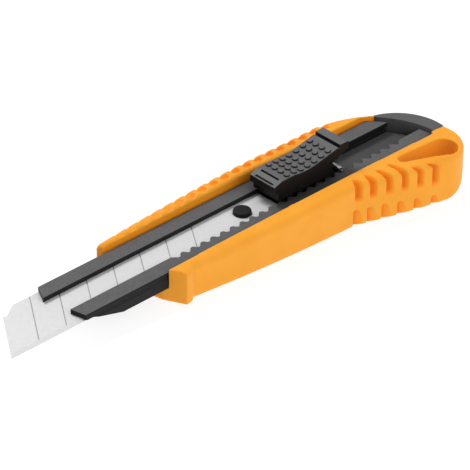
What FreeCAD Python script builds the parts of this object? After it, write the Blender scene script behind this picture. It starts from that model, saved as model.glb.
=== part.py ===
import FreeCAD, Part

import math
import os

from FreeCAD import Placement, Rotation, Vector

# Snap-off utility knife, millimetres.
# +X runs from the blade tip to the butt, +Y from the cutting edge to the spine, +Z up to the thumb button.
# The origin is on the underside of the handle, below the blade's centreline, at mid-grip.
# Every piece is drawn with z = 0 at the blade's top face, then lifted by blade_height.

DRIVING = [
    ("blade_length", 100.0),
    ("blade_width", 18.0),
    ("blade_thick", 0.5),
    ("blade_tip_x", -81.6),
    ("blade_height", 8.75),
    ("segment_count", 8),
    ("segment_slant", 33.0),
    ("segment_pitch", 9.45),
    ("blade_nick", 2.5),
    ("bevel_width", 1.5),
    ("score_depth", 0.1),
    ("score_width", 0.25),
    ("rail_top", 1.5),
    ("rail_gap_half", 4.4),
    ("rail_half", 9.55),
    ("guide_half", 9.9),
    ("guide_low", -3.0),
    ("guide_front_x", -59.6),
    ("trough_half", 4.5),
    ("trough_low", -1.75),
    ("tooth_pitch", 3.64),
    ("tooth_depth", 1.3),
    ("tooth_count", 24),
    ("tooth_tip_y", -4.5),
    ("pawl_x", 23.48),
    ("stud_x", 8.3),
    ("stud_radius", 2.6),
    ("stud_hole_radius", 2.7),
    ("fit_gap", 0.1),
    ("handle_rear_x", 79.6),
    ("handle_top", 3.5),
    ("handle_top_front", 2.7),
    ("handle_top_rear", 2.4),
    ("underside_tilt", 2.5),
    ("shoulder_radius", 2.4),
    ("far_edge_radius", 0.9),
    ("groove_radius", 1.35),
    ("near_groove_count", 6),
    ("near_groove_start", 39.15),
    ("near_groove_pitch", 5.05),
    ("far_groove_count", 15),
    ("far_groove_start", -13.6),
    ("far_groove_pitch", 4.4),
    ("hang_hole_radius", 4.1),
    ("button_half", 4.9),
    ("button_front_x", 15.8),
    ("button_rear_x", 44.5),
    ("button_skirt_low", 2.3),
    ("block_half", 3.95),
    ("block_front_x", 19.2),
    ("block_rear_x", 38.0),
    ("tail_rear_x", 43.5),
    ("pivot_x", 25.7),
    ("pivot_z", 2.95),
    ("pin_radius", 0.9),
    ("pin_clearance", 0.05),
    ("spring_thick", 0.4),
    ("spring_half", 3.0),
    ("cap_floor", -3.0),
    ("tongue_low", -5.4),
    ("tongue_front_x", 62.0),
]

doc = FreeCAD.newDocument("utility_knife")
sheet = doc.addObject("Spreadsheet::Sheet", "Dims")
for row, (alias, value) in enumerate(DRIVING, start=1):
    sheet.set(f"A{row}", alias)
    sheet.set(f"B{row}", str(value))
    sheet.setAlias(f"B{row}", alias)
doc.recompute()


def size(alias):
    """The value of one driving dimension, read back from the sheet."""
    return float(sheet.get(alias))


# ---------------------------------------------------------------- sketch helpers

def line(a, b):
    return Part.LineSegment(Vector(a[0], a[1], 0), Vector(b[0], b[1], 0))


def arc(a, middle, b):
    return Part.Arc(Vector(a[0], a[1], 0), Vector(middle[0], middle[1], 0), Vector(b[0], b[1], 0))


def polygon(points):
    return [line(a, b) for a, b in zip(points, points[1:] + points[:1])]


def rectangle(x_low, y_low, x_high, y_high):
    return polygon([(x_low, y_low), (x_high, y_low), (x_high, y_high), (x_low, y_high)])


def circle(x, y, radius):
    return [Part.Circle(Vector(x, y, 0), Vector(0, 0, 1), radius)]


def new_body(name):
    body = doc.addObject("PartDesign::Body", name + "_body")
    body.Label = name
    body.setExpression("Placement.Base.z", "Dims.blade_height")
    return body


def sketch_on(body, name, plane, offset, loops):
    """A sketch on one of the body's origin planes, moved along the plane's normal by an expression."""
    origin_plane = [f for f in body.Origin.OriginFeatures if f.Role == plane][0]
    sketch = body.newObject("Sketcher::SketchObject", name)
    sketch.AttachmentSupport = [(origin_plane, "")]
    sketch.MapMode = "FlatFace"
    sketch.setExpression("AttachmentOffset.Base.z", offset)
    for loop in loops:
        sketch.addGeometry(loop, False)
    return sketch


def pad(body, name, plane, offset, length, loops):
    feature_sketch = sketch_on(body, name + "_sketch", plane, offset, loops)
    feature = body.newObject("PartDesign::Pad", name)
    feature.Profile = feature_sketch
    feature.setExpression("Length", length)
    doc.recompute()
    return feature


def pocket(body, name, plane, offset, length, loops):
    """A cut from the sketch against its plane's normal; the volume must fall."""
    before = body.Shape.Volume
    feature_sketch = sketch_on(body, name + "_sketch", plane, offset, loops)
    feature = body.newObject("PartDesign::Pocket", name)
    feature.Profile = feature_sketch
    feature.setExpression("Length", length)
    doc.recompute()
    if not body.Shape.Volume < before - 1e-4:
        raise RuntimeError(f"{name} cuts nothing")
    return feature


def fillet(body, name, radius, wanted):
    """Rounds the edges of the body's last feature whose midpoint passes the test."""
    base = body.Tip
    names = []
    for number, edge in enumerate(base.Shape.Edges, start=1):
        middle = edge.valueAt((edge.FirstParameter + edge.LastParameter) / 2)
        if wanted(middle, edge):
            names.append(f"Edge{number}")
    feature = body.newObject("PartDesign::Fillet", name)
    feature.Base = (base, names)
    feature.setExpression("Radius", radius)
    doc.recompute()
    if not feature.isValid() or feature.Shape.isNull():
        raise RuntimeError(f"{name} can't round {names}")
    return feature


def cylinder(name, radius, length, base, direction):
    tool = doc.addObject("Part::Cylinder", name)
    tool.setExpression("Radius", radius)
    tool.setExpression("Height", length)
    tool.Placement = Placement(Vector(*base), Rotation(Vector(0, 0, 1), Vector(*direction)))
    return tool


# ---------------------------------------------------------------- shared geometry

HALF_WIDTH = size("blade_width") / 2
TIP_X = size("blade_tip_x")
SLANT = math.tan(math.radians(size("segment_slant")))
REAR_X = size("handle_rear_x")
GUIDE_WALL = size("guide_half") + 0.05
UNDER_SLOPE = math.tan(math.radians(size("underside_tilt")))
NEAR_SIDE_START = (-21.6, -12.9)
NEAR_WAIST = (8.0, -14.7)
GRIP_START = (37.5, -15.1)
GRIP_MIDDLE = (54.0, -19.4)
GRIP_END = (68.0, -22.05)
CAP_SEAT_Y = -8.9
CAP_START = (REAR_X - 0.5, CAP_SEAT_Y)
CAP_MIDDLE = (77.2, 1.4)
CAP_END = (68.2, 8.6)
FAR_TURN = (60.6, 12.5)
FAR_SWELL = (50.0, 15.0)
FAR_MIDDLE = (8.0, 13.8)
FAR_FRONT = (-34.3, 11.5)
FRONT_BEND = (-28.9, -8.5)
COLLAR_FRONT = (-25.4, -14.6)
COLLAR_REAR = (-23.2, -14.2)
# how far back and how far inwards each finger groove runs as it crosses the shoulder
NEAR_TIPS = [(1.0, 3.8), (1.5, 4.6), (2.0, 5.5), (2.4, 6.3), (2.1, 3.2), (2.4, 1.8)]
HOLE_CENTRE = (70.8, -16.9)
HOLE_TIP = (57.4, -13.9)
HOLE_TIP_RADIUS = 1.6
GUIDE_REAR = 73.8
FAR_CUT_X = 64.6
FAR_CUT_END = 8.25
ARCH_INNER = [(75.2, CAP_SEAT_Y), (73.4, -0.9), (68.3, 7.3)]


def around(centre, radius, angle):
    """The point on a circle at an angle in radians."""
    return (centre[0] + radius * math.cos(angle), centre[1] + radius * math.sin(angle))


def circle_through(a, b, c):
    """Centre and radius of the circle through three points."""
    found = arc(a, b, c).toShape().Curve
    return (found.Center.x, found.Center.y), found.Radius


def corner_middle():
    """Middle of the butt's corner arc, which leaves the grip arc tangentially."""
    (cx, cy), _ = circle_through(GRIP_START, GRIP_MIDDLE, GRIP_END)
    along = Vector(GRIP_END[1] - cy, cx - GRIP_END[0], 0).normalize()
    if along.x < 0:
        along = -along
    chord = Vector(CAP_START[0] - GRIP_END[0], CAP_START[1] - GRIP_END[1], 0)
    inward = Vector(-along.y, along.x, 0)
    radius = chord.Length ** 2 / (2 * chord.dot(inward))
    start = Vector(GRIP_END[0], GRIP_END[1], 0)
    centre = start + inward * radius
    out = (start + chord / 2 - centre).normalize()
    middle = centre + out * radius
    return (middle.x, middle.y)


def side_y(points, x):
    """The y of a three-point side arc at a given x."""
    (cx, cy), radius = circle_through(*points)
    reach = math.sqrt(radius ** 2 - (x - cx) ** 2)
    return cy + reach if points[1][1] > cy else cy - reach


def underside(x):
    """Height of the tilted underside, from the blade's top face."""
    return -size("blade_height") - UNDER_SLOPE * x


# ---------------------------------------------------------------- handle shell

def outline():
    """Plan outline of the handle, from the front corner on the cutting-edge side, all the way round."""
    return [
        line(COLLAR_FRONT, COLLAR_REAR),
        line(COLLAR_REAR, NEAR_SIDE_START),
        arc(NEAR_SIDE_START, NEAR_WAIST, GRIP_START),
        arc(GRIP_START, GRIP_MIDDLE, GRIP_END),
        arc(GRIP_END, corner_middle(), CAP_START),
        arc(CAP_START, CAP_MIDDLE, CAP_END),
        arc(CAP_END, FAR_TURN, FAR_SWELL),
        arc(FAR_SWELL, FAR_MIDDLE, FAR_FRONT),
        line(FAR_FRONT, FRONT_BEND),
        line(FRONT_BEND, COLLAR_FRONT),
    ]


def handle_body():
    """The solid block of the handle, between its crowned top and its tilted, flat underside."""
    body = new_body("handle_block")
    pad(body, "HandleOutline", "XY_Plane", "-14", "14 + Dims.handle_top + 1", [outline()])
    far_x = REAR_X + 10
    near_x = FAR_FRONT[0] - 10
    front_top = (near_x, size("handle_top_front"))
    rear_top = (far_x, size("handle_top_rear"))
    ceiling = 9
    above = [
        arc(front_top, (18, size("handle_top")), rear_top),
        line(rear_top, (far_x, ceiling)),
        line((far_x, ceiling), (near_x, ceiling)),
        line((near_x, ceiling), front_top),
    ]
    heel_x = 66.5
    heel_start = (heel_x, underside(heel_x))
    heel_end = (REAR_X + 0.9, -3.5)
    front_low = (near_x, underside(near_x))
    depth = -20
    below = [
        line(front_low, heel_start),
        arc(heel_start, (73.0, -9.4), heel_end),
        line(heel_end, (heel_end[0], depth)),
        line((heel_end[0], depth), (near_x, depth)),
        line((near_x, depth), front_low),
    ]
    # the XZ plane's normal is -Y, so each sketch starts beyond the handle's edge and cuts right across it
    pocket(body, "TopCurve", "XZ_Plane", "40", "80", [above])
    pocket(body, "TiltedUnderside", "XZ_Plane", "40", "80", [below])
    return body


def corner_cut(x, top, radius):
    """What lies outside a rounded upper corner whose upright side is at x."""
    turn = radius * (1 - math.sqrt(0.5))
    low = top - radius
    high = top + 5
    outside = x - 5
    return [
        arc((x, low), (x + turn, top - turn), (x + radius, top)),
        line((x + radius, top), (x + radius, high)),
        line((x + radius, high), (outside, high)),
        line((outside, high), (outside, low)),
        line((outside, low), (x, low)),
    ]


def front_corners(body):
    """Rounds the finger flange's upper corner and the leading corner of the spine-side wall."""
    flange = corner_cut(COLLAR_FRONT[1] - 0.6, size("handle_top_front") + 0.6, 3.4)
    pocket(body, "FlangeCorner", "YZ_Plane", "-21.7", "20", [flange])
    nose = corner_cut(FAR_FRONT[0] - 0.4, size("handle_top_front") + 0.3, 2.6)
    pocket(body, "WallNose", "XZ_Plane", "-9.9", "8", [nose])


def top_rounds(body):
    """The full shoulder on the cutting-edge side and the soft edge of the spine-side wall."""

    def near_shoulder(p, edge):
        top = p.z > 2 and edge.BoundBox.ZLength < 1.5
        return top and p.y < -12.5 and p.x > -21.0

    def far_top(p, edge):
        return p.z > 2 and p.y > 11.2 and edge.BoundBox.ZLength < 1.5 and edge.BoundBox.XLength > 5

    fillet(body, "NearShoulder", "Dims.shoulder_radius", near_shoulder)
    fillet(body, "FarTopEdge", "Dims.far_edge_radius", far_top)


def channel_and_cap_seat(body):
    """The open channel that the guide drops into, and the room at the rear corner that the cap fills."""
    wall_end = CAP_END[0] - 0.15
    seat = polygon([
        (-50, -GUIDE_WALL), (GUIDE_REAR, -GUIDE_WALL), (GUIDE_REAR, CAP_SEAT_Y), (90, CAP_SEAT_Y), (90, 30),
        (wall_end, 30), (wall_end, FAR_CUT_END), (FAR_CUT_X, GUIDE_WALL), (-50, GUIDE_WALL),
    ])
    pocket(body, "Channel", "XY_Plane", "20", "20 - Dims.guide_low + 0.05", [seat])
    tongue_slot = rectangle(size("tongue_front_x") - 0.3, -8.2, 90, 3.2)
    pocket(body, "TongueSlot", "XY_Plane", "Dims.tongue_low + 1.7", "1.8", [tongue_slot])
    bridge = rectangle(73.4, -8.2, 90, 3.2)
    pocket(body, "TongueBridge", "XY_Plane", "-2.9", "2", [bridge])


def hang_hole(body):
    """Teardrop hole through the butt, for a hook or lanyard."""
    radius = size("hang_hole_radius")
    along = math.atan2(HOLE_TIP[1] - HOLE_CENTRE[1], HOLE_TIP[0] - HOLE_CENTRE[0])
    spread = math.acos((radius - HOLE_TIP_RADIUS) / math.dist(HOLE_CENTRE, HOLE_TIP))
    a = around(HOLE_CENTRE, radius, along + spread)
    b = around(HOLE_CENTRE, radius, along - spread)
    c = around(HOLE_TIP, HOLE_TIP_RADIUS, along - spread)
    d = around(HOLE_TIP, HOLE_TIP_RADIUS, along + spread)
    back = around(HOLE_CENTRE, radius, along + math.pi)
    front = around(HOLE_TIP, HOLE_TIP_RADIUS, along)
    teardrop = [arc(a, back, b), line(b, c), arc(c, front, d), line(d, a)]
    pocket(body, "HangHole", "XY_Plane", "20", "40", [teardrop])


def scoop(name, start, direction, reach):
    """A round-bottomed cut that starts outside the wall and runs up and inwards over its top."""
    lead_in = 1.2
    way = Vector(*direction).normalize()
    base = Vector(*start) - way * lead_in
    return cylinder(name, "Dims.groove_radius", str(reach + lead_in), tuple(base), tuple(way))


def near_groove(number):
    """One finger groove on the cutting-edge side: up the side, over the shoulder, and a notch below it."""
    x = size("near_groove_start") + size("near_groove_pitch") * number
    wall = side_y((GRIP_START, GRIP_MIDDLE, GRIP_END), x)
    low = -2.4 - 0.5 * number
    axis_y = wall - 0.35
    shoulder = 1.5
    up = (0, 0, 1)
    radius = "Dims.groove_radius"
    side = cylinder(f"NearSide{number}", radius, str(shoulder - low), (x, axis_y, low), up)
    back, inward = NEAR_TIPS[number]
    reach = math.hypot(back, inward)
    over = scoop(f"NearOver{number}", (x, axis_y, shoulder - 0.2), (-back, inward, 0.4 * reach), reach)
    notch_start = (x, wall - 0.9, underside(x) + 4.6)
    notch = cylinder(f"NearNotch{number}", radius, "6", notch_start, (0, 0.12, -1))
    return [side, over, notch]


def far_groove(number):
    """One finger groove on the spine side, with its upper end turned in over the top of the wall."""
    x = size("far_groove_start") + size("far_groove_pitch") * number
    wall = side_y((FAR_SWELL, FAR_MIDDLE, FAR_FRONT), x)
    axis_y = wall + 0.55
    low = underside(x) + 2.5
    inner_end = GUIDE_WALL + 1.45
    side = cylinder(f"FarSide{number}", "Dims.groove_radius", str(1.2 - low), (x, axis_y, low), (0, 0, 1))
    over = scoop(f"FarOver{number}", (x, axis_y, 1.0), (0, -0.8, 0.6), (axis_y - inner_end) / 0.8)
    return [side, over]


def handle_shell():
    body = handle_body()
    top_rounds(body)
    front_corners(body)
    channel_and_cap_seat(body)
    hang_hole(body)
    cutters = []
    for number in range(int(size("near_groove_count"))):
        cutters += near_groove(number)
    for number in range(int(size("far_groove_count"))):
        cutters += far_groove(number)
    grooves = doc.addObject("Part::MultiFuse", "FingerGrooves")
    grooves.Shapes = cutters
    grooves.setExpression("Placement.Base.z", "Dims.blade_height")
    shell = doc.addObject("Part::Cut", "HandleShell")
    shell.Base = body
    shell.Tool = grooves
    shell.Label = "handle_shell"
    doc.recompute()
    return shell


# ---------------------------------------------------------------- blade guide

def guide_section():
    """Cross-section of the guide: a floor with a trough, two side webs and two lips over the blade."""
    outer = size("guide_half")
    rail = size("rail_half")
    top = size("rail_top")
    low = size("guide_low")
    gap = size("rail_gap_half")
    slot = HALF_WIDTH + 0.15
    slot_top = 0.06
    slot_low = -size("blade_thick") - 0.06
    trough = size("trough_half")
    trough_low = size("trough_low")
    return polygon([
        (-outer, low), (outer, low), (outer, -0.5), (rail, -0.1), (rail, top - 0.4), (rail - 0.4, top),
        (gap, top), (gap, slot_top), (slot, slot_top), (slot, slot_low), (trough, slot_low),
        (trough, trough_low), (-trough, trough_low), (-trough, slot_low), (-slot, slot_low),
        (-slot, slot_top), (-gap, slot_top), (-gap, top), (-rail + 0.4, top), (-rail, top - 0.4),
        (-rail, -0.1), (-outer, -0.5),
    ])


def tooth_wave():
    """The wavy edge of the ratchet: round valleys and tips by turns, so the pawl clicks both ways."""
    pitch = size("tooth_pitch")
    tip = size("tooth_tip_y")
    valley = tip - size("tooth_depth")
    middle = (tip + valley) / 2
    count = int(size("tooth_count"))
    first = size("pawl_x") - pitch * count / 2
    start = first - pitch / 2
    last = first + pitch * (count - 1)
    end = last + pitch / 2
    edges = [line((start, 0), (start, tip)), line((start, tip), (first - pitch / 4, middle))]
    for number in range(count):
        x = first + pitch * number
        edges.append(arc((x - pitch / 4, middle), (x, valley), (x + pitch / 4, middle)))
        if number < count - 1:
            edges.append(arc((x + pitch / 4, middle), (x + pitch / 2, tip), (x + 3 * pitch / 4, middle)))
    edges.append(line((last + pitch / 4, middle), (end, tip)))
    edges.append(line((end, tip), (end, 0)))
    edges.append(line((end, 0), (start, 0)))
    return edges


def blade_guide():
    """The pressed-steel channel the blade runs in, with the ratchet cut in one lip."""
    body = new_body("blade_guide")
    front = size("guide_front_x")
    longest = 76.5
    length = f"{longest} - Dims.guide_front_x"
    pad(body, "GuideSection", "YZ_Plane", "Dims.guide_front_x", length, [guide_section()])
    half = size("guide_half") + 1
    gap = size("rail_gap_half")
    nose = polygon([
        (front - 1, -half), (front + 3.6, -half), (front + 3.2, -size("rail_half")), (front + 1.9, -gap),
        (front, gap), (front + 2.3, size("rail_half") - 0.5), (front + 3.2, half), (front - 1, half),
    ])
    pocket(body, "NosePlan", "XY_Plane", "5", "12", [nose])
    bevel_front = front - 2
    bevel_rear = -44.0
    below = -6
    bevel = polygon([
        (bevel_front, 0.0), (-54.3, 0.0), (bevel_rear, size("guide_low")), (bevel_rear, below),
        (bevel_front, below),
    ])
    pocket(body, "NoseBevel", "XZ_Plane", "20", "40", [bevel])
    pocket(body, "Ratchet", "XY_Plane", "5", "5 - 0.03", [tooth_wave()])
    centre, radius = circle_through(*ARCH_INNER)
    cap_room = 0.6
    half_turn = math.radians(75)
    first = around(centre, radius - cap_room, -half_turn)
    middle = around(centre, radius - cap_room, 0)
    last = around(centre, radius - cap_room, half_turn)
    outside = last[0] + 60
    beyond = [
        arc(first, middle, last),
        line(last, (outside, last[1])),
        line((outside, last[1]), (outside, first[1])),
        line((outside, first[1]), first),
    ]
    pocket(body, "RearEnd", "XY_Plane", "5", "12", [beyond])
    gap = size("fit_gap")
    near_corner = rectangle(GUIDE_REAR - gap, -12, 80, CAP_SEAT_Y + gap)
    pocket(body, "RearNearCorner", "XY_Plane", "5", "12", [near_corner])
    slope = (GUIDE_WALL - FAR_CUT_END) / (CAP_END[0] - 0.15 - FAR_CUT_X)
    far_corner = polygon([
        (FAR_CUT_X - gap, GUIDE_WALL), (80, GUIDE_WALL - gap - slope * (80 - FAR_CUT_X)),
        (80, 14), (FAR_CUT_X - gap, 14),
    ])
    pocket(body, "RearFarCorner", "XY_Plane", "5", "12", [far_corner])
    return body


# ---------------------------------------------------------------- blade

def blade():
    """The snap-off blade: bevelled along its edge, slanted at the tip and scored between segments."""
    body = new_body("blade")
    thick = size("blade_thick")
    bevel_y = -HALF_WIDTH + size("bevel_width")
    section = polygon([
        (HALF_WIDTH, -thick), (HALF_WIDTH, 0), (bevel_y, 0), (-HALF_WIDTH, -thick / 2 + 0.03),
        (-HALF_WIDTH, -thick / 2 - 0.03), (bevel_y, -thick),
    ])
    pad(body, "BladeSection", "YZ_Plane", "Dims.blade_tip_x", "Dims.blade_length", [section])
    spine_x = TIP_X + SLANT * size("blade_width")
    nick_y = HALF_WIDTH - size("blade_nick")
    nick_x = spine_x - size("blade_nick") * SLANT
    front = polygon([
        (TIP_X - 1, -HALF_WIDTH - 1), (TIP_X - SLANT, -HALF_WIDTH - 1), (nick_x, nick_y),
        (nick_x + 1, nick_y - 0.4), (spine_x + 4.1, HALF_WIDTH + 0.3), (TIP_X - 1, HALF_WIDTH + 0.3),
    ])
    pocket(body, "LeadingEdge", "XY_Plane", "1", "3", [front])
    rear = TIP_X + size("blade_length")
    for name, side in (("RearNear", -1), ("RearFar", 1)):
        corner = polygon([
            (rear + 1, side * 5.2), (rear + 1, side * 10), (rear - 4.2, side * 10), (rear, side * 5.8),
        ])
        pocket(body, name, "XY_Plane", "1", "3", [corner])
    hole = circle(size("stud_x"), 0, size("stud_hole_radius"))
    pocket(body, "StudHole", "XY_Plane", "1", "3", [hole])
    width = size("score_width") / 2
    scores = []
    for number in range(1, int(size("segment_count"))):
        edge_x = TIP_X + size("segment_pitch") * number
        low = edge_x + SLANT * size("bevel_width")
        high = edge_x + SLANT * (size("blade_width") + 0.5)
        scores.append(polygon([
            (low - width, bevel_y), (low + width, bevel_y), (high + width, HALF_WIDTH + 0.5),
            (high - width, HALF_WIDTH + 0.5),
        ]))
    pocket(body, "ScoreLines", "XY_Plane", "1", "1 + Dims.score_depth", scores)
    return body


# ---------------------------------------------------------------- slider pieces

def blade_holder():
    """The carrier in the channel: a tongue with the stud under the blade, and a block behind it."""
    body = new_body("blade_holder")
    half = size("block_half")
    tongue = rectangle(size("stud_x") - 5.5, -half, size("tail_rear_x"), half)
    pad(body, "Tongue", "XY_Plane", "Dims.trough_low + Dims.fit_gap", "-Dims.trough_low - 0.65", [tongue])
    pad(body, "Stud", "XY_Plane", "-0.9", "2.0", [circle(size("stud_x"), 0, size("stud_radius"))])

    def stud_rim(p, edge):
        return p.z > 1.0 and abs(p.x - size("stud_x")) < 4

    fillet(body, "StudRim", "0.35", stud_rim)
    block = rectangle(size("block_front_x"), -half, size("block_rear_x"), half)
    pad(body, "Block", "XY_Plane", "-1", "5.2", [block])
    wings = rectangle(size("block_front_x"), -HALF_WIDTH + 0.1, size("block_rear_x") - 2, HALF_WIDTH - 0.1)
    pad(body, "Wings", "XY_Plane", "-Dims.blade_thick", "Dims.blade_thick", [wings])
    tail = rectangle(size("block_rear_x") - 1, -half, size("tail_rear_x"), half)
    pad(body, "Tail", "XY_Plane", "-1", "1", [tail])
    hole = circle(size("pivot_x"), size("pivot_z"), size("pin_radius"))
    pocket(body, "PivotHole", "XZ_Plane", "20", "40", [hole])
    slot = rectangle(size("pawl_x") - 1.25, -half - 1, size("pawl_x") + 1.25, 0.4)
    pocket(body, "PawlSlot", "XY_Plane", "1.4", "1.35", [slot])
    return body


def lock_pawl():
    """The sliding tooth of the lock, drawn back clear of the ratchet."""
    body = new_body("lock_pawl")
    x = size("pawl_x")
    half = 1.05
    root = 0.2
    tip = -size("block_half") + 0.05
    tip_half = 0.2
    shoulder = tip + 0.9
    shape = polygon([
        (x - half, root), (x - half, shoulder), (x - tip_half, tip),
        (x + tip_half, tip), (x + half, shoulder), (x + half, root),
    ])
    pad(body, "PawlShape", "XY_Plane", "0.17", "1.1", [shape])
    return body


def pivot_pin():
    """The cross pin the thumb button rocks on."""
    body = new_body("pivot_pin")
    half = size("button_half") + 0.25
    section = circle(size("pivot_x"), size("pivot_z"), size("pin_radius"))
    pad(body, "Pin", "XZ_Plane", f"-{half}", f"2 * {half}", [section])
    return body


def button_profile():
    """Side profile of the thumb button: a front lip, a hollow for the thumb and a raised bar at the rear."""
    front = size("button_front_x")
    rear = size("button_rear_x")
    low = size("button_skirt_low")
    return [
        line((front + 1.4, low), (front + 1.4, 4.6)),
        line((front + 1.4, 4.6), (front, 5.0)),
        line((front, 5.0), (front, 7.1)),
        line((front, 7.1), (front + 3.0, 8.1)),
        line((front + 3.0, 8.1), (front + 7.6, 8.1)),
        arc((front + 7.6, 8.1), (front + 13.2, 7.65), (front + 17.6, 8.3)),
        line((front + 17.6, 8.3), (rear - 3.6, 9.8)),
        line((rear - 3.6, 9.8), (rear - 3.4, 10.45)),
        line((rear - 3.4, 10.45), (rear - 0.4, 10.45)),
        line((rear - 0.4, 10.45), (rear, 10.0)),
        line((rear, 10.0), (rear, 8.2)),
        line((rear, 8.2), (rear - 6.0, 5.6)),
        line((rear - 6.0, 5.6), (rear - 6.0, low)),
        line((rear - 6.0, low), (front + 1.4, low)),
    ]


def thumb_button():
    """The thumb button: a hollow moulding over the block, with two grooves across its front."""
    body = new_body("thumb_button")
    pad(body, "ButtonProfile", "XZ_Plane", "-Dims.button_half", "2 * Dims.button_half", [button_profile()])
    inner = size("block_half") + 0.15
    hollow = rectangle(size("button_front_x") + 2.6, -inner, size("button_rear_x") - 5.0, inner)
    pocket(body, "Hollow", "XY_Plane", "5.0", "6", [hollow])
    spring_room_half = size("spring_half") + 0.4
    spring_room = rectangle(30.0, -spring_room_half, size("button_rear_x") - 1.5, spring_room_half)
    pocket(body, "SpringRoom", "XY_Plane", "6.2", "6", [spring_room])
    hole = circle(size("pivot_x"), size("pivot_z"), size("pin_radius") + size("pin_clearance"))
    pocket(body, "PivotHoles", "XZ_Plane", "20", "40", [hole])
    groove_width = 0.55
    groove_half = 3.4
    grooves = []
    for offset in (3.2, 5.0):
        start = size("button_front_x") + offset
        grooves.append(rectangle(start, -groove_half, start + groove_width, groove_half))
    pocket(body, "FrontGrooves", "XY_Plane", "9", "9 - 7.75", grooves)
    return body


def leaf_spring():
    """Steel leaf: clamped in the block's top, running back under the button and down to the tail."""
    body = new_body("leaf_spring")
    thick = size("spring_thick")
    top = 4.75
    profile = polygon([
        (31.0, top - thick), (39.0, top - thick), (42.6, 0.45), (44.2, 0.35), (44.2, 0.35 + thick),
        (42.9, 0.5 + thick), (39.3, top), (31.0, top),
    ])
    pad(body, "LeafProfile", "XZ_Plane", "-Dims.spring_half", "2 * Dims.spring_half", [profile])
    return body


# ---------------------------------------------------------------- end cap

def end_cap():
    """Arched cap that closes the rear corner, with a tongue that plugs into the handle floor."""
    body = new_body("end_cap")
    gap = size("fit_gap")
    start = (CAP_START[0], CAP_SEAT_Y + gap)
    inner_start = (ARCH_INNER[0][0], CAP_SEAT_Y + gap)
    crescent = [
        arc(start, CAP_MIDDLE, CAP_END),
        line(CAP_END, ARCH_INNER[2]),
        arc(ARCH_INNER[2], ARCH_INNER[1], inner_start),
        line(inner_start, start),
    ]
    pad(body, "Arch", "XY_Plane", "Dims.cap_floor", "2.55 - Dims.cap_floor", [crescent])
    tongue = rectangle(size("tongue_front_x"), -8.0, 76.6, 3.0)
    pad(body, "CapTongue", "XY_Plane", "Dims.tongue_low", "1.6", [tongue])
    bridge = polygon([(74.8, -8.0), (77.4, -8.0), (76.0, 3.0), (74.8, 3.0)])
    pad(body, "CapBridge", "XY_Plane", "Dims.tongue_low", "2.6", [bridge])
    return body


# ---------------------------------------------------------------- build, check, write

pieces = [
    handle_shell(), blade_guide(), blade(), blade_holder(), lock_pawl(),
    pivot_pin(), thumb_button(), leaf_spring(), end_cap(),
]
doc.recompute()
for thing in doc.Objects:
    if "Invalid" in thing.State or "Error" in thing.State:
        raise RuntimeError(f"{thing.Name} ({thing.Label}) failed: {thing.State}")
os.makedirs("parts", exist_ok=True)
for piece in pieces:
    shape = piece.Shape
    if shape.isNull() or not shape.isValid() or len(shape.Solids) != 1:
        raise RuntimeError(f"{piece.Label}: solids {len(shape.Solids)}, valid {shape.isValid()}")
    shape.exportStep(f"parts/{piece.Label}.step")
    box = shape.BoundBox
    print(f"{piece.Label:14s} {shape.Volume:9.1f} mm3  x {box.XMin:7.2f} {box.XMax:7.2f}"
          f"  y {box.YMin:7.2f} {box.YMax:7.2f}  z {box.ZMin:7.2f} {box.ZMax:7.2f}")
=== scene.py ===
import math

import bmesh
import bpy
import numpy as np
from mathutils import Matrix, Vector


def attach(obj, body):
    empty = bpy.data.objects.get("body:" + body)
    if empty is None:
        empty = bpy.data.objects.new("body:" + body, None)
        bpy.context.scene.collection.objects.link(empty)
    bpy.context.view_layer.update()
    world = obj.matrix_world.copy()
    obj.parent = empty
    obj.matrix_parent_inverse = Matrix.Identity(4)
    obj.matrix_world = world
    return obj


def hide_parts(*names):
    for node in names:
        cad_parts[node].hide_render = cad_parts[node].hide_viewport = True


# The looks of a snap-off utility knife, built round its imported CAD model.
# Shapes are written in millimetres and scaled to metres when a mesh is made. X runs along the knife
# towards the butt, Y across it towards the blade's spine, and Z up from the blade's top face.
# In names, near is the side of the blade's cutting edge and far is the side of its spine.

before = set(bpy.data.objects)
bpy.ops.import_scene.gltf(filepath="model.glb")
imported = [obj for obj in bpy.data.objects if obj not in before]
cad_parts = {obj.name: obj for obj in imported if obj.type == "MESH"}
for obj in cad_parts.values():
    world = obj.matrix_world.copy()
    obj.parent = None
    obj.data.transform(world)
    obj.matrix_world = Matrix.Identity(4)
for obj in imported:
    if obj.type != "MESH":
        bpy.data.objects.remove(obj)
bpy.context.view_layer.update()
MM = 0.001
BLADE_TOP = 8.75


# ---------------------------------------------------------------- mesh helpers

def circle_of(a, middle, b):
    """Centre and radius of the circle through three points."""
    (ax, ay), (bx, by), (cx, cy) = a, middle, b
    d = 2 * (ax * (by - cy) + bx * (cy - ay) + cx * (ay - by))
    ux = ((ax**2 + ay**2) * (by - cy) + (bx**2 + by**2) * (cy - ay) + (cx**2 + cy**2) * (ay - by)) / d
    uy = ((ax**2 + ay**2) * (cx - bx) + (bx**2 + by**2) * (ax - cx) + (cx**2 + cy**2) * (bx - ax)) / d
    return (ux, uy), math.hypot(ax - ux, ay - uy)


def turn_points(centre, radius, start, turn, steps):
    """Points round a circle from the angle start through turn, with both ends."""
    angles = [start + turn * k / steps for k in range(steps + 1)]
    return [(centre[0] + radius * math.cos(angle), centre[1] + radius * math.sin(angle)) for angle in angles]


def arc_points(a, middle, b, count):
    """Points along the circle through a, middle and b, without the last one."""
    centre, radius = circle_of(a, middle, b)
    start, mid, end = (math.atan2(y - centre[1], x - centre[0]) for x, y in (a, middle, b))
    turn = (end - start) % math.tau
    if (mid - start) % math.tau > turn:
        turn -= math.tau
    return turn_points(centre, radius, start, turn, count)[:-1]


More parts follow.
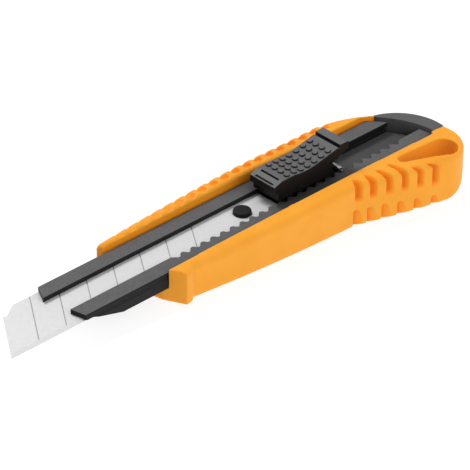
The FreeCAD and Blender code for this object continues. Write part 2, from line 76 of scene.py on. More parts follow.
def line_points(a, b, count):
    """Points along the straight line from a to b, without the last one."""
    return [(a[0] + (b[0] - a[0]) * i / count, a[1] + (b[1] - a[1]) * i / count) for i in range(count)]


def new_object(name, bm):
    """A mesh object from a bmesh drawn in millimetres with z measured from the blade's top face."""
    bmesh.ops.recalc_face_normals(bm, faces=bm.faces)
    mesh = bpy.data.meshes.new(name)
    bm.to_mesh(mesh)
    bm.free()
    mesh.transform(Matrix.Diagonal((MM, MM, MM, 1)) @ Matrix.Translation((0, 0, BLADE_TOP)))
    obj = bpy.data.objects.new(name, mesh)
    bpy.context.scene.collection.objects.link(obj)
    return obj


def prism(name, outline, axis, low, high):
    """An outline, drawn in the two axes other than axis, pushed along axis from low to high."""
    def place(u, v, w):
        return {"x": (w, u, v), "y": (u, w, v), "z": (u, v, w)}[axis]

    bm = bmesh.new()
    bottom = [bm.verts.new(place(u, v, low)) for u, v in outline]
    top = [bm.verts.new(place(u, v, high)) for u, v in outline]
    bm.faces.new(bottom)
    bm.faces.new(top[::-1])
    for i in range(len(outline)):
        j = (i + 1) % len(outline)
        bm.faces.new((bottom[i], bottom[j], top[j], top[i]))
    return new_object(name, bm)


def cut(target, tool):
    """Takes tool away from target and removes tool."""
    modifier = target.modifiers.new("cut", "BOOLEAN")
    modifier.operation = "DIFFERENCE"
    modifier.solver = "EXACT"
    modifier.object = tool
    apply_modifiers(target)
    bpy.data.objects.remove(tool)


def apply_modifiers(obj):
    """Makes what the modifiers show the object's own mesh."""
    graph = bpy.context.evaluated_depsgraph_get()
    graph.update()
    made = bpy.data.meshes.new_from_object(obj.evaluated_get(graph))
    obj.modifiers.clear()
    old = obj.data
    obj.data = made
    bpy.data.meshes.remove(old)


def smooth_shading(obj):
    for face in obj.data.polygons:
        face.use_smooth = True


def step(x, low, high):
    """Smooth 0 to 1 as x goes from low to high."""
    t = np.clip((x - low) / (high - low), 0, 1)
    return t * t * (3 - 2 * t)


# ---------------------------------------------------------------- the handle's shape

# Points of the outline seen from above. A curved stretch is the arc through its ends and its middle.
UNDER_SLOPE = math.tan(math.radians(2.5))
NEAR_SIDE_START = (-21.6, -12.9)
NEAR_WAIST = (8.0, -14.7)
GRIP_START = (37.5, -15.1)
GRIP_MIDDLE = (54.0, -19.4)
GRIP_END = (68.0, -22.05)
CAP_START = (79.1, -8.9)
CAP_MIDDLE = (77.2, 1.4)
CAP_END = (68.2, 8.6)
FAR_TURN = (60.6, 12.5)
FAR_SWELL = (50.0, 15.0)
FAR_MIDDLE = (8.0, 13.8)
FAR_FRONT = (-34.3, 11.5)
FRONT_BEND = (-28.9, -8.5)
COLLAR_FRONT = (-25.4, -14.6)
COLLAR_REAR = (-23.2, -14.2)
WALL_Y = 9.95
CHANNEL_FLOOR = -3.05
SHOULDER = 2.4
TOP_ARC = ((-44.3, 2.7), (18.0, 3.5), (89.6, 2.4))
HOLE_CENTRE = (70.8, -16.9)
HOLE_RADIUS = 4.1
HOLE_TIP = (57.4, -13.9)
HOLE_TIP_RADIUS = 1.6
HEEL_START_X = 66.5
HEEL_MIDDLE = (73.4, -9.9)
HEEL_END = (80.5, -3.5)
TONGUE_SIDES = (-8.2, 3.2)
BEYOND_BUTT = 95
BOTTOM_ROUND = 0.8
VOXEL = 0.25
CHANNEL = [
    (-50, -WALL_Y), (73.8, -WALL_Y), (73.8, -8.9), (90, -8.9), (90, 30), (68.5, 30), (68.5, 8.03),
    (64.6, WALL_Y), (-50, WALL_Y),
]


def corner_middle():
    """Middle of the butt's corner arc, which leaves the grip arc tangentially."""
    (cx, cy), _ = circle_of(GRIP_START, GRIP_MIDDLE, GRIP_END)
    along = Vector((GRIP_END[1] - cy, cx - GRIP_END[0])).normalized()
    if along.x < 0:
        along = -along
    start = Vector(GRIP_END)
    chord = Vector(CAP_START) - start
    inward = Vector((-along.y, along.x))
    radius = chord.length_squared / (2 * chord.dot(inward))
    centre = start + inward * radius
    return tuple(centre + (start + chord / 2 - centre).normalized() * radius)


def underside(x):
    """Height of the flat underside, which slopes along the knife."""
    return -BLADE_TOP - UNDER_SLOPE * x


def top_height(x):
    """Height of the handle's gently crowned top."""
    (cx, cy), radius = circle_of(*TOP_ARC)
    return cy + np.sqrt(radius**2 - (x - cx) ** 2)


def outline_with_rounds():
    """The plan outline as points, each with the radius of the top edge there."""
    small = 0.35
    collar = 0.8
    soft = 0.9
    butt = 1.1
    pieces = [
        (line_points(COLLAR_FRONT, COLLAR_REAR, 3), small, small),
        (line_points(COLLAR_REAR, NEAR_SIDE_START, 3), collar, collar),
        (arc_points(NEAR_SIDE_START, NEAR_WAIST, GRIP_START, 60), SHOULDER, SHOULDER),
        (arc_points(GRIP_START, GRIP_MIDDLE, GRIP_END, 40), SHOULDER, SHOULDER),
        (arc_points(GRIP_END, corner_middle(), CAP_START, 30), SHOULDER, butt),
        (arc_points(CAP_START, CAP_MIDDLE, CAP_END, 30), small, small),
        (arc_points(CAP_END, FAR_TURN, FAR_SWELL, 24), soft, soft),
        (arc_points(FAR_SWELL, FAR_MIDDLE, FAR_FRONT, 80), soft, soft),
        (line_points(FAR_FRONT, FRONT_BEND, 12), small, small),
        (line_points(FRONT_BEND, COLLAR_FRONT, 5), small, small),
    ]
    points, rounds = [], []
    for part, first, last in pieces:
        points += part
        rounds += list(np.linspace(first, last, len(part)))
    points, rounds = np.array(points), np.array(rounds)
    for _ in range(3):
        rounds = (np.roll(rounds, 1) + 2 * rounds + np.roll(rounds, -1)) / 4
    return points, rounds


def inward_normals(points):
    """Unit normals of a closed counter-clockwise outline, pointing inwards."""
    ahead = np.roll(points, -1, 0) - points
    behind = points - np.roll(points, 1, 0)
    ahead /= np.linalg.norm(ahead, axis=1)[:, None]
    behind /= np.linalg.norm(behind, axis=1)[:, None]
    tangent = ahead + behind
    tangent /= np.linalg.norm(tangent, axis=1)[:, None]
    return np.stack([-tangent[:, 1], tangent[:, 0]], 1)


def handle_blank():
    """The handle without its channel and grooves: rings of points, one above another, with rounded edges."""
    points, rounds = outline_with_rounds()
    inward = inward_normals(points)
    bottom_steps = 3
    top_steps = 6
    rings = []
    for k in range(bottom_steps + 1):
        angle = math.pi / 2 * k / bottom_steps
        inset = BOTTOM_ROUND * (1 - math.sin(angle))
        lift = BOTTOM_ROUND * (1 - math.cos(angle))
        rings.append([(x, y, underside(x) + lift) for x, y in points + inward * inset])
    for k in range(top_steps + 1):
        angle = math.pi / 2 * k / top_steps
        inset = rounds * (1 - math.cos(angle))
        drops = rounds * (1 - math.sin(angle))
        ring = points + inward * inset[:, None]
        rings.append([(x, y, float(top_height(x)) - drop) for (x, y), drop in zip(ring, drops)])
    bm = bmesh.new()
    loops = [[bm.verts.new(place) for place in ring] for ring in rings]
    count = len(points)
    for low, high in zip(loops, loops[1:]):
        for i in range(count):
            j = (i + 1) % count
            bm.faces.new((low[i], low[j], high[j], high[i]))
    bm.faces.new(loops[0][::-1])
    bm.faces.new(loops[-1])
    bmesh.ops.triangulate(bm, faces=[f for f in bm.faces if len(f.verts) > 4])
    return new_object("handle_skin", bm)


def heel_outline():
    """Everything below the curve that lifts the heel off the table."""
    below = -30
    start = (HEEL_START_X, underside(HEEL_START_X))
    curve = arc_points(start, HEEL_MIDDLE, HEEL_END, 20) + [HEEL_END]
    return curve + [(BEYOND_BUTT, HEEL_END[1]), (BEYOND_BUTT, below), (HEEL_START_X, below)]


def corner_outline(edge, top, radius):
    """What lies outside a rounded top corner that faces towards lower X or Y, for a cut."""
    steps = 8
    outside = edge - 5
    above = top + 6
    points = []
    for k in range(steps + 1):
        angle = math.pi / 2 * k / steps
        points.append((edge + radius * (1 - math.cos(angle)), top - radius * (1 - math.sin(angle))))
    return points + [(edge + radius, above), (outside, above), (outside, top - radius)]


def hang_hole_outline():
    """A teardrop: a wide and a narrow round end, joined by the lines that touch both."""
    along = math.atan2(HOLE_TIP[1] - HOLE_CENTRE[1], HOLE_TIP[0] - HOLE_CENTRE[0])
    spread = math.acos((HOLE_RADIUS - HOLE_TIP_RADIUS) / math.dist(HOLE_CENTRE, HOLE_TIP))
    wide_end = turn_points(HOLE_CENTRE, HOLE_RADIUS, along + spread, math.tau - 2 * spread, 32)
    narrow_end = turn_points(HOLE_TIP, HOLE_TIP_RADIUS, along - spread, 2 * spread, 12)
    return wide_end + narrow_end


def box_outline(low_x, low_y, high_x, high_y):
    return [(low_x, low_y), (high_x, low_y), (high_x, high_y), (low_x, high_y)]


# ---------------------------------------------------------------- finger grooves

NEAR_GROOVE_X = 36.75
NEAR_PITCH = 5.05
# For each near scoop: how far its tip leans forwards, and how far over the top edge it reaches.
NEAR_TIPS = [(-1.4, 3.4), (-1.0, 4.2), (-0.1, 5.0), (0.3, 6.0), (1.1, 1.6), (1.5, 0.8)]
SCOOP_WIDTH = 2.6
SCOOP_DEPTH = 1.35
NOTCH_LEAN = 1.2
NOTCH_DEPTH = 1.2
NOTCH_LENGTH = 3.4
FAR_GROOVE_X = -28.4
FAR_PITCH = 4.43
FAR_COUNT = 19
FAR_CREST = 0.55
LOBE_DEPTH = 0.95
LOBE_LENGTH = 2.8
DIMPLE_DEPTH = 1.0
DIMPLE_RADIUS = 1.65
WALL_MARGIN = 0.35


def side_y(arc, x):
    """The y of a side arc at x."""
    (cx, cy), radius = circle_of(*arc)
    reach = np.sqrt(np.clip(radius**2 - (x - cx) ** 2, 0, None))
    return cy + reach if arc[1][1] > cy else cy - reach


def scoop(s, rise, flat, tail):
    """1 from just past a sharp leading edge at s = 0, held to flat, then easing back to 0 at tail."""
    return step(s, 0, rise) * (1 - step(s, flat, tail))


def near_scoop_depth(x, z, inward):
    """How far the curved scoops over the cutting-edge shoulder sink the surface."""
    depth = np.zeros_like(x)
    for n, (lean, reach) in enumerate(NEAR_TIPS):
        groove_x = NEAR_GROOVE_X + NEAR_PITCH * n + (0.5 if n == 0 else 0)
        path = z + inward
        low = -2.1 - 0.1 * n**2
        bend = top_height(groove_x) - 2.0
        tip = top_height(groove_x) + reach
        u = np.clip((path - bend) / (tip - bend), 0, 1)
        s = x - groove_x + lean * u**1.3 + 0.25 * u
        width = SCOOP_WIDTH * np.sqrt(np.clip(1 - u**3, 0.05, 1))
        ends = step(path, low - 0.6, low + 0.9) * (1 - step(path, tip - 1.2, tip + 0.2))
        depth = np.maximum(depth, SCOOP_DEPTH * ends * scoop(s / width, 0.12, 0.4, 1.05))
    return depth


def near_notch_depth(x, z):
    """How far the arched notches along the bottom edge push the wall in."""
    depth = np.zeros_like(x)
    for n in range(len(NEAR_TIPS)):
        groove_x = NEAR_GROOVE_X + NEAR_PITCH * n
        s = x - groove_x + NOTCH_LEAN * math.sin(math.pi * n / 5)
        roof = underside(x) + 5.6 - 0.09 * n**2
        arch = roof - 1.3 * np.clip(np.abs(s - 0.9) - 0.3, 0, None) ** 2
        fade = 1 - step(z, arch - 0.7, arch + 0.1)
        slope = step(s, 0, 0.3) * np.clip(1 - s / NOTCH_LENGTH, 0, 1) ** 1.5
        depth = np.maximum(depth, NOTCH_DEPTH * fade * slope)
    return depth


def far_groove_depth(x, z, inward):
    """How far the spine side is sunk: lobes between notches, with a dimple behind each notch."""
    path = z + inward - top_height(x)
    strength = 0.3 + 0.7 * step(x, -25, 20)
    depth = np.zeros_like(x)
    for n in range(FAR_COUNT):
        s = x - (FAR_GROOVE_X + FAR_PITCH * n)
        lobe = LOBE_DEPTH * step(s, 0, 0.35) * np.clip(1 - s / LOBE_LENGTH, 0, 1) ** 1.5
        lobe = lobe * (1 - step(path, 0.0, 1.0))
        away = np.hypot((s - DIMPLE_RADIUS) / DIMPLE_RADIUS, (path - DIMPLE_RADIUS) / DIMPLE_RADIUS)
        dimple = DIMPLE_DEPTH * (1 - step(away, 0.5, 1.0))
        depth = np.maximum(depth, np.maximum(lobe, dimple))
    return depth * strength


def points_and_normals(mesh):
    """Each vertex's place and normal, as two arrays."""
    count = len(mesh.vertices)
    co = np.empty(count * 3, np.float32)
    mesh.vertices.foreach_get("co", co)
    normals = np.empty(count * 3, np.float32)
    mesh.vertex_normals.foreach_get("vector", normals)
    return co.reshape(-1, 3).astype(float), normals.reshape(-1, 3).astype(float)


def carve_grooves(obj):
    """Sinks the finger grooves into the fine mesh, and notes their depth, which the material turns into
    painted shade.
    """
    mesh = obj.data
    co, normals = points_and_normals(mesh)
    x, y, z = co[:, 0] / MM, co[:, 1] / MM, co[:, 2] / MM - BLADE_TOP
    facing_up = np.clip(normals[:, 2], 0, 1)

    inward = np.clip(y - side_y((GRIP_START, GRIP_MIDDLE, GRIP_END), x), 0, None)
    from_hole = np.hypot(x - HOLE_CENTRE[0], y - HOLE_CENTRE[1]) - HOLE_RADIUS
    outside_hole = np.clip((from_hole - 0.3) / 0.8, 0, 1)
    near = (y < -WALL_Y - WALL_MARGIN) & (x > 34) & (x < 70)
    scoops = near * outside_hole * near_scoop_depth(x, z, inward) * np.clip(-normals[:, 1] + facing_up, 0, 1)
    notches = near * outside_hole * near_notch_depth(x, z) * np.clip(1 - inward / 4, 0, 1)

    inward = np.clip(side_y((FAR_SWELL, FAR_MIDDLE, FAR_FRONT), x) - y, 0, None)
    far = (y > WALL_Y + WALL_MARGIN) & (x < 60)
    outward = np.clip(normals[:, 1] + facing_up, 0, 1)
    lobes = far * far_groove_depth(x, z, inward) * outward
    crest = FAR_CREST * np.clip((y - WALL_Y) / 0.8, 0, 1) * (1 - step(x, 15, 45)) * outward

    co -= normals * (scoops + lobes - crest)[:, None] * MM
    co[:, 1] += notches * MM
    mesh.vertices.foreach_set("co", co.astype(np.float32).ravel())
    sunk = mesh.attributes.new("sunk", "FLOAT", "POINT")
    # The depths at which each kind of groove gets its full painted shade.
    full_scoop = 1.2
    full_notch = 0.9
    full_lobe = 1.25
    depth = scoops / full_scoop + notches / full_notch * np.clip(-normals[:, 1], 0, 1) + lobes / full_lobe
    sunk.data.foreach_set("value", np.clip(depth, 0, 1).astype(np.float32))
    mesh.update()


def build_handle():
    """The blank with its openings cut, remeshed finely, grooved and thinned out."""
    tongue_low, tongue_high = TONGUE_SIDES
    slot = box_outline(61.7, tongue_low, BEYOND_BUTT, tongue_high)
    bridge = box_outline(73.4, tongue_low, BEYOND_BUTT, tongue_high)
    handle = handle_blank()
    cut(handle, prism("heel", heel_outline(), "y", -40, 40))
    cut(handle, prism("flange_corner", corner_outline(-15.2, 3.3, 3.4), "x", -45, -21.7))
    cut(handle, prism("wall_nose", corner_outline(-34.7, 3.0, 2.6), "y", 9.9, 20))
    cut(handle, prism("channel", CHANNEL, "z", CHANNEL_FLOOR, 20))
    cut(handle, prism("tongue_slot", slot, "z", -5.5, -3.7))
    cut(handle, prism("tongue_bridge", bridge, "z", -4.9, -2.9))
    cut(handle, prism("hang_hole", hang_hole_outline(), "z", -30, 20))
    remesh = handle.modifiers.new("remesh", "REMESH")
    remesh.mode = "VOXEL"
    remesh.voxel_size = VOXEL * MM
    soften = handle.modifiers.new("soften", "SMOOTH")
    soften.factor = 0.5
    soften.iterations = 6
    apply_modifiers(handle)
    carve_grooves(handle)
    relax = handle.modifiers.new("relax", "SMOOTH")
    relax.factor = 0.5
    relax.iterations = 1
    thin = handle.modifiers.new("thin_out", "DECIMATE")
    thin.ratio = 0.5
    apply_modifiers(handle)
    smooth_shading(handle)
    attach(handle, "handle")
    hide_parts("handle_shell")
    return handle


# ---------------------------------------------------------------- the thumb button

BUTTON_FRONT = 15.8
BUTTON_REAR = 44.5
BUTTON_HALF = 4.9
BUTTON_LOW = 2.3
PIN_PLACE = (25.7, 2.95)
PIN_HOLE_RADIUS = 0.95
DOT_RADIUS = 0.86
DOT_HEIGHT = 0.5
DOT_SIDES = 16
DOT_COLUMNS = 7
DOT_ROWS = 4


def button_side():
    """The button's side profile, front lip to rear bar, as (x, z) points."""
    front, rear, low = BUTTON_FRONT, BUTTON_REAR, BUTTON_LOW
    points = [(front + 1.4, low), (front + 1.4, 4.6), (front, 5.0), (front, 7.1), (front + 3.0, 8.1)]
    points += arc_points((front + 7.6, 8.1), (front + 13.2, 7.65), (front + 17.6, 8.3), 14)
    points += [(front + 17.6, 8.3), (rear - 4.1, 9.7), (rear - 3.9, 9.3), (rear - 3.55, 9.3)]
    points += [(rear - 3.4, 10.4), (rear - 0.4, 10.4), (rear, 10.0), (rear, 8.2)]
    points += [(rear - 6.0, 5.6), (rear - 6.0, low)]
    return points


def button_top(x):
    """Height of the button's pad at x."""
    side = [p for p in button_side() if p[1] > 7.0 and p[0] < BUTTON_REAR - 4.0]
    return float(np.interp(x, [p[0] for p in side], [p[1] for p in side]))


def raised_dot(bm, x, y, z, slope):
    """A low round stud with a rounded rim, standing on a sloping face."""
    root = -0.25
    profile = [(1.0, root), (1.0, 0.55 * DOT_HEIGHT), (0.86, 0.9 * DOT_HEIGHT), (0.6, DOT_HEIGHT)]
    rings = []
    for reach, rise in profile:
        ring = []
        for k in range(DOT_SIDES):
            angle = math.tau * k / DOT_SIDES
            dx = DOT_RADIUS * reach * math.cos(angle)
            dy = DOT_RADIUS * reach * math.sin(angle)
            ring.append(bm.verts.new((x + dx, y + dy, z + rise + dx * slope)))
        rings.append(ring)
    for low, high in zip(rings, rings[1:]):
        for k in range(DOT_SIDES):
            j = (k + 1) % DOT_SIDES
            bm.faces.new((low[k], low[j], high[j], high[k]))
    bm.faces.new(rings[-1])
    bm.faces.new(rings[0][::-1])


def button_dots():
    """Rows of raised dots that follow the pad's slope."""
    bm = bmesh.new()
    for column in range(DOT_COLUMNS):
        x = BUTTON_FRONT + 5.9 + 2.64 * column
        for row in range(DOT_ROWS):
            y = 3.6 - 2.4 * row
            slope = button_top(x + 0.5) - button_top(x - 0.5)
            raised_dot(bm, x, y, button_top(x), slope)
    return new_object("dots", bm)


def build_button():
    """The button's body, hollowed underneath, with rounded edges and its raised dots."""
    button = prism("button_skin", button_side(), "y", -BUTTON_HALF, BUTTON_HALF)
    inner = 4.1
    hollow = box_outline(BUTTON_FRONT + 2.6, -inner, BUTTON_REAR - 5.0, inner)
    spring_half = 3.4
    spring_room = box_outline(30.0, -spring_half, BUTTON_REAR - 1.5, spring_half)
    pin_hole = turn_points(PIN_PLACE, PIN_HOLE_RADIUS, 0, math.tau, 32)[:-1]
    cut(button, prism("hollow", hollow, "z", 0.0, 5.0))
    cut(button, prism("spring_room", spring_room, "z", 0.0, 6.2))
    cut(button, prism("pin_hole", pin_hole, "y", -8, 8))
    for start, low in ((0.3, 6.9), (2.5, 7.5)):
        x = BUTTON_FRONT + start
        cut(button, prism("front_groove", box_outline(x, -3.6, x + 0.6, 3.3), "z", low, 9.0))
    bevel = button.modifiers.new("rounded_edges", "BEVEL")
    bevel.width = 0.28 * MM
    bevel.segments = 3
    bevel.limit_method = "ANGLE"
    bevel.angle_limit = math.radians(25)
    apply_modifiers(button)
    join_into(button, button_dots())
    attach(button, "button")
    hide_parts("thumb_button")
    return button


def join_into(target, other):
    """Adds other's mesh to target's and removes other."""
    bm = bmesh.new()
    bm.from_mesh(target.data)
    bm.from_mesh(other.data)
    bpy.data.objects.remove(other)
    bm.to_mesh(target.data)
    bm.free()


def round_cad_edges(node, width):
    """Small rounded edges on a CAD node, by modifiers only."""
    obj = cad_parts[node]
    weld = obj.modifiers.new("weld", "WELD")
    weld.merge_threshold = 0.004 * MM
    flat = obj.modifiers.new("flat", "DECIMATE")
    flat.decimate_type = "DISSOLVE"
    flat.angle_limit = math.radians(1.0)
    bevel = obj.modifiers.new("rounded_edges", "BEVEL")
    bevel.width = width * MM
    bevel.segments = 2
    bevel.limit_method = "ANGLE"
    bevel.angle_limit = math.radians(30)
    bevel.harden_normals = True


# ---------------------------------------------------------------- materials

# The trough's level is in metres. The score lines are in millimetres along the blade's cutting edge.
TROUGH_LEVEL = (BLADE_TOP - 0.6) * MM
BLADE_EDGE = -9.0
BEVEL_WIDTH = 1.4
SLANT = math.tan(math.radians(33))
SCORE_START = -72.15
SCORE_PITCH = 9.45
SCORE_COUNT = 7


class Graph:
    """A short way to write a material's nodes."""

    def __init__(self, name):
        self.material = bpy.data.materials.new(name)
        self.material.use_nodes = True
        self.tree = self.material.node_tree
        self.shader = self.tree.nodes["Principled BSDF"]
        self.coords = self.tree.nodes.new("ShaderNodeTexCoord").outputs["Object"]

    def put(self, value, socket):
        if isinstance(value, bpy.types.NodeSocket):
            self.tree.links.new(value, socket)
        elif isinstance(value, tuple) and len(value) == 3 and socket.type == "RGBA":
            socket.default_value = (*value, 1)
        else:
            socket.default_value = value

    def noise(self, scale, detail=3.0, rough=0.5, stretch=(1, 1, 1), distortion=0.0):
        mapping = self.tree.nodes.new("ShaderNodeMapping")
        mapping.inputs["Scale"].default_value = stretch
        self.tree.links.new(self.coords, mapping.inputs["Vector"])
        node = self.tree.nodes.new("ShaderNodeTexNoise")
        node.inputs["Scale"].default_value = scale
        node.inputs["Detail"].default_value = detail
        node.inputs["Roughness"].default_value = rough
        node.inputs["Distortion"].default_value = distortion
        self.tree.links.new(mapping.outputs["Vector"], node.inputs["Vector"])
        return node.outputs["Fac"]

    def math(self, operation, a, b=0.0, c=0.0, clamp=False):
        node = self.tree.nodes.new("ShaderNodeMath")
        node.operation = operation
        node.use_clamp = clamp
        for value, socket in zip((a, b, c), node.inputs):
            self.put(value, socket)
        return node.outputs[0]

    def remap(self, value, low, high, to_low=0.0, to_high=1.0):
        node = self.tree.nodes.new("ShaderNodeMapRange")
        for item, socket in zip((value, low, high, to_low, to_high), node.inputs):
            self.put(item, socket)
        return node.outputs[0]

    def mix(self, factor, a, b, mode="MIX"):
        node = self.tree.nodes.new("ShaderNodeMix")
        node.data_type = "RGBA"
        node.blend_type = mode
        self.put(factor, node.inputs["Factor"])
        colours = [i for i in node.inputs if i.type == "RGBA"]
        self.put(a, colours[0])
        self.put(b, colours[1])
        return [o for o in node.outputs if o.type == "RGBA"][0]

    def split(self):
        node = self.tree.nodes.new("ShaderNodeSeparateXYZ")
        self.tree.links.new(self.coords, node.inputs[0])
        return node.outputs

    def bump(self, height, strength, distance, normal=None):
        node = self.tree.nodes.new("ShaderNodeBump")
        self.put(height, node.inputs["Height"])
        node.inputs["Strength"].default_value = strength
        node.inputs["Distance"].default_value = distance
        if normal is not None:
            self.tree.links.new(normal, node.inputs["Normal"])
        return node.outputs["Normal"]

    def edge_highlight(self, radius):
        """1 on sharp edges, 0 on flats, from the angle between the true and a rounded normal; it places
        painted highlights.
        """
        bevel = self.tree.nodes.new("ShaderNodeBevel")
        bevel.samples = 4
        bevel.inputs["Radius"].default_value = radius
        geometry = self.tree.nodes.new("ShaderNodeNewGeometry")
        dot = self.tree.nodes.new("ShaderNodeVectorMath")
        dot.operation = "DOT_PRODUCT"
        self.tree.links.new(bevel.outputs[0], dot.inputs[0])
        self.tree.links.new(geometry.outputs["Normal"], dot.inputs[1])
        return self.remap(dot.outputs["Value"], 0.985, 0.86)

    def attribute(self, name):
        node = self.tree.nodes.new("ShaderNodeAttribute")
        node.attribute_name = name
        return node.outputs["Fac"]

    def upward(self):
        """1 where the surface faces up, 0 on walls."""
        node = self.tree.nodes.new("ShaderNodeSeparateXYZ")
        geometry = self.tree.nodes.new("ShaderNodeNewGeometry")
        self.tree.links.new(geometry.outputs["Normal"], node.inputs[0])
        return self.remap(node.outputs["Z"], 0.72, 0.95)

    def closeness(self, distance):
        """Ambient occlusion: 1 in the open, less in hollows."""
        node = self.tree.nodes.new("ShaderNodeAmbientOcclusion")
        node.samples = 8
        node.inputs["Distance"].default_value = distance
        return node.outputs["AO"]


def orange_plastic():
    g = Graph("orange_plastic")
    cloud = g.noise(90, 4, 0.6)
    fine = g.noise(2600, 2, 0.5)
    scratches = g.noise(500, 3, 0.6, stretch=(1, 9, 9))
    base = g.mix(g.remap(cloud, 0.35, 0.7), (0.81, 0.325, 0.022), (0.85, 0.355, 0.032))
    # Painted shade: hollows within about 2.2 mm take a deeper, more saturated orange.
    painted_shade = g.remap(g.closeness(2.2 * MM), 0.4, 0.95, 1.0, 0.0)
    base = g.mix(g.math("MULTIPLY", painted_shade, 0.75), base, (1.0, 0.30, 0.001))
    # Painted shade in the finger grooves: a deeper orange as they sink, and darker still at their bottoms.
    sunk = g.attribute("sunk")
    base = g.mix(g.math("MULTIPLY", sunk, 0.9), base, (0.90, 0.235, 0.0001))
    base = g.mix(g.math("MULTIPLY", g.math("POWER", sunk, 4.0), 0.55), base, (0.62, 0.12, 0.0001))
    # Painted highlight: sharp edges get a paler peach.
    base = g.mix(g.math("MULTIPLY", g.edge_highlight(0.6 * MM), 0.45), base, (1.0, 0.50, 0.13))
    g.put(base, g.shader.inputs["Base Color"])
    mixed = g.math("MULTIPLY", g.math("ADD", scratches, cloud), 0.5)
    g.put(g.remap(mixed, 0.3, 0.75, 0.36, 0.50), g.shader.inputs["Roughness"])
    g.put(g.bump(fine, 0.12, 0.02 * MM, g.bump(scratches, 0.06, 0.03 * MM)), g.shader.inputs["Normal"])
    g.shader.inputs["Subsurface Weight"].default_value = 0.2
    g.shader.inputs["Subsurface Radius"].default_value = (0.0040, 0.0014, 0.0003)
    g.shader.inputs["Subsurface Scale"].default_value = 0.6
    g.shader.inputs["Specular IOR Level"].default_value = 0.16
    return g.material


def black_plastic(name, top, side, trough, crevice, shade):
    """Moulded black plastic: grey grain on up-facing faces as painted sheen, smooth and darker walls as
    painted shade.

    The greys of its top, side and trough faces are given; the trough's grey is painted shade on the channel
    floor.
    Hollows get painted shade over crevice millimetres, down to shade times the top's grey.
    """
    g = Graph(name)
    cloud = g.noise(160, 4, 0.65)
    grain = g.noise(2300, 3, 0.7)
    dust = g.noise(420, 5, 0.7)
    speckle = g.math("ADD", g.remap(grain, 0.25, 0.75, 0.72, 1.28), g.remap(cloud, 0.3, 0.7, -0.08, 0.08))
    _, _, z = g.split()
    # Painted shade: below the trough's level the channel floor takes the darker trough grey.
    painted_shade = g.remap(z, TROUGH_LEVEL - 0.2 * MM, TROUGH_LEVEL, 1.0, 0.0)
    # Painted shade in hollows and under overhangs, from ambient occlusion.
    shaded = g.remap(g.closeness(crevice * MM), 0.45, 0.85, shade, 1.0)
    lit = g.mix(1.0, (top, top, top * 1.02), shaded, "MULTIPLY")
    lit = g.mix(painted_shade, lit, (trough, trough, trough))
    lit = g.mix(1.0, lit, speckle, "MULTIPLY")
    lit = g.mix(g.remap(dust, 0.62, 0.8, 0.0, 0.25), lit, (0.16, 0.16, 0.165))
    # Painted light: faces that point up take the lighter grey as painted sheen, walls the darker side grey.
    base = g.mix(g.upward(), (side, side, side), lit)
    # Painted highlight: sharp edges get a lighter grey.
    base = g.mix(g.math("MULTIPLY", g.edge_highlight(0.2 * MM), 0.3), base, (0.14, 0.14, 0.145))
    g.put(base, g.shader.inputs["Base Color"])
    g.put(g.remap(grain, 0.3, 0.7, 0.42, 0.6), g.shader.inputs["Roughness"])
    g.put(g.bump(grain, 0.2, 0.05 * MM), g.shader.inputs["Normal"])
    g.shader.inputs["Specular IOR Level"].default_value = 0.17
    return g.material


def blade_steel():
    """Ground steel with slanted score lines between the segments, drawn as painted shade."""
    g = Graph("blade_steel")
    x, y, _ = g.split()
    grain = g.noise(700, 3, 0.6, stretch=(4, 1, 1))
    cloud = g.noise(60, 3, 0.5)
    base = g.mix(g.remap(grain, 0.3, 0.7), (0.61, 0.61, 0.615), (0.665, 0.665, 0.67))
    base = g.mix(g.remap(cloud, 0.4, 0.7, 0.0, 0.3), base, (0.60, 0.60, 0.605))
    along = g.math("SUBTRACT", x, g.math("MULTIPLY", g.math("SUBTRACT", y, BLADE_EDGE * MM), SLANT))
    place = g.math("DIVIDE", g.math("SUBTRACT", along, SCORE_START * MM), SCORE_PITCH * MM)
    away = g.math("ABSOLUTE", g.math("SUBTRACT", g.math("FRACT", g.math("ADD", place, 0.5)), 0.5))
    # Painted shade along the score lines, standing in for the shade in their grooves.
    score = g.remap(away, 0.012, 0.026, 1.0, 0.0)
    past_first = g.math("GREATER_THAN", place, -0.5)
    before_last = g.math("LESS_THAN", place, SCORE_COUNT - 0.5)
    inside = g.math("MULTIPLY", past_first, before_last)
    off_bevel = g.math("GREATER_THAN", y, (BLADE_EDGE + BEVEL_WIDTH) * MM)
    score = g.math("MULTIPLY", g.math("MULTIPLY", score, inside), off_bevel)
    base = g.mix(g.math("MULTIPLY", score, 0.55), base, (0.16, 0.16, 0.165))
    # Painted shadow: the blade darkens where it lies close under other parts, such as the button and the
    # guide's lips.
    base = g.mix(g.remap(g.closeness(4 * MM), 0.2, 0.55, 0.85, 0.0), base, (0.03, 0.03, 0.03))
    g.put(base, g.shader.inputs["Base Color"])
    g.shader.inputs["Metallic"].default_value = 0.3
    g.put(g.remap(grain, 0.3, 0.7, 0.44, 0.56), g.shader.inputs["Roughness"])
    g.put(g.bump(grain, 0.05, 0.02 * MM), g.shader.inputs["Normal"])
    return g.material


def spring_steel():
    g = Graph("spring_steel")
    grain = g.noise(1400, 3, 0.6, stretch=(0.1, 1, 1))
    # Painted glints: dark patches leave only small bright spots on the strip.
    glint_pattern = g.noise(260, 3, 0.6, stretch=(0.5, 1, 1))
    base = g.mix(g.remap(grain, 0.3, 0.7), (0.66, 0.66, 0.65), (0.8, 0.8, 0.79))
    base = g.mix(g.remap(glint_pattern, 0.42, 0.58, 0.7, 0.0), base, (0.2, 0.2, 0.205))
    g.put(base, g.shader.inputs["Base Color"])
    g.shader.inputs["Metallic"].default_value = 1.0
    g.put(g.remap(grain, 0.3, 0.7, 0.2, 0.32), g.shader.inputs["Roughness"])
    g.put(g.bump(grain, 0.06, 0.02 * MM), g.shader.inputs["Normal"])
    return g.material


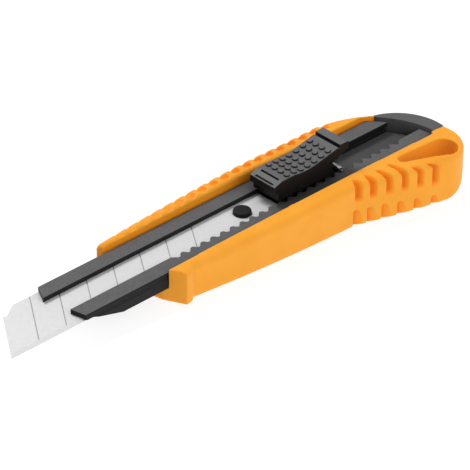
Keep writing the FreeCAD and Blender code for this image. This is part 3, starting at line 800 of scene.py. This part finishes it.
def floor_material():
    g = Graph("pale_floor")
    speckle = g.noise(30, 3, 0.5)
    g.put(g.mix(speckle, (0.19, 0.19, 0.19), (0.21, 0.21, 0.21)), g.shader.inputs["Base Color"])
    g.shader.inputs["Roughness"].default_value = 0.8
    g.shader.inputs["Emission Color"].default_value = (1, 1, 1, 1)
    g.shader.inputs["Emission Strength"].default_value = 0.84
    return g.material


# ---------------------------------------------------------------- the stage

def build_floor():
    """A pale table just under the knife's flat underside, and sloping with it."""
    bm = bmesh.new()
    reach = 1500
    gap = 0.02
    corners = [(-reach, -reach), (reach, -reach), (reach, reach), (-reach, reach)]
    bm.faces.new([bm.verts.new((x, y, underside(x) - gap)) for x, y in corners])
    floor = new_object("floor", bm)
    floor.data.materials.append(floor_material())


SENSOR_WIDTH = 36
LENS_TO_SENSOR = 6.558234


def build_camera():
    """A long lens from the front, the cutting-edge side and above."""
    right = Vector((0.7285, -0.6851, 0.0064))
    down = Vector((-0.378, -0.4098, -0.8302))
    forward = Vector((0.5714, 0.6023, -0.5575))
    place = Vector((-479.88, -511.86, 467.67 + BLADE_TOP)) * MM
    camera = bpy.data.cameras.new("camera")
    obj = bpy.data.objects.new("camera", camera)
    bpy.context.scene.collection.objects.link(obj)
    obj.matrix_world = Matrix.Translation(place) @ Matrix((right, -down, -forward)).transposed().to_4x4()
    camera.sensor_width = SENSOR_WIDTH
    camera.lens = LENS_TO_SENSOR * SENSOR_WIDTH
    camera.clip_start = 0.01
    camera.clip_end = 20
    bpy.context.scene.camera = obj


def area_light(name, place, size, power):
    """A square light aimed at the origin, with place and size in metres."""
    light = bpy.data.lights.new(name, "AREA")
    light.size = size
    light.energy = power
    obj = bpy.data.objects.new(name, light)
    bpy.context.scene.collection.objects.link(obj)
    obj.location = place
    obj.rotation_euler = (-Vector(place)).to_track_quat("-Z", "Y").to_euler()


def build_light():
    world = bpy.data.worlds.new("studio")
    bpy.context.scene.world = world
    world.use_nodes = True
    world.node_tree.nodes["Background"].inputs["Color"].default_value = (1, 1, 1, 1)
    world.node_tree.nodes["Background"].inputs["Strength"].default_value = 0.5
    area_light("key", (0.0, 0.55, 0.75), 0.25, 5.1)
    area_light("fill", (0.15, -0.7, 0.5), 0.9, 4.1)
    bpy.context.scene.view_settings.view_transform = "Standard"


# ---------------------------------------------------------------- putting it together

def dress(obj, material):
    """Gives an object one material."""
    obj.data.materials.clear()
    obj.data.materials.append(material)


def main():
    build_camera()
    handle = build_handle()
    button = build_button()
    dress(handle, orange_plastic())
    button_plastic = black_plastic(
        "button_plastic", top=0.112, side=0.004, trough=0.02, crevice=1.0, shade=0.45)
    # For the guide, crevice reaches 9 mm, so painted shade falls on the lips beside the button as its
    # shadow.
    guide_plastic = black_plastic(
        "guide_plastic", top=0.098, side=0.008, trough=0.065, crevice=9.0, shade=0.1)
    slider_plastic = black_plastic(
        "slider_plastic", top=0.008, side=0.004, trough=0.02, crevice=1.0, shade=0.5)
    cap_plastic = black_plastic(
        "cap_plastic", top=0.093, side=0.08, trough=0.05, crevice=1.0, shade=0.6)
    dress(button, button_plastic)
    dress(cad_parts["blade_guide"], guide_plastic)
    dress(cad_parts["end_cap"], cap_plastic)
    for node in ("blade_holder", "pivot_pin", "lock_pawl"):
        dress(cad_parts[node], slider_plastic)
    for node in ("blade_guide", "end_cap"):
        round_cad_edges(node, 0.22)
    dress(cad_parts["blade"], blade_steel())
    dress(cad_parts["leaf_spring"], spring_steel())
    build_floor()
    build_light()


main()
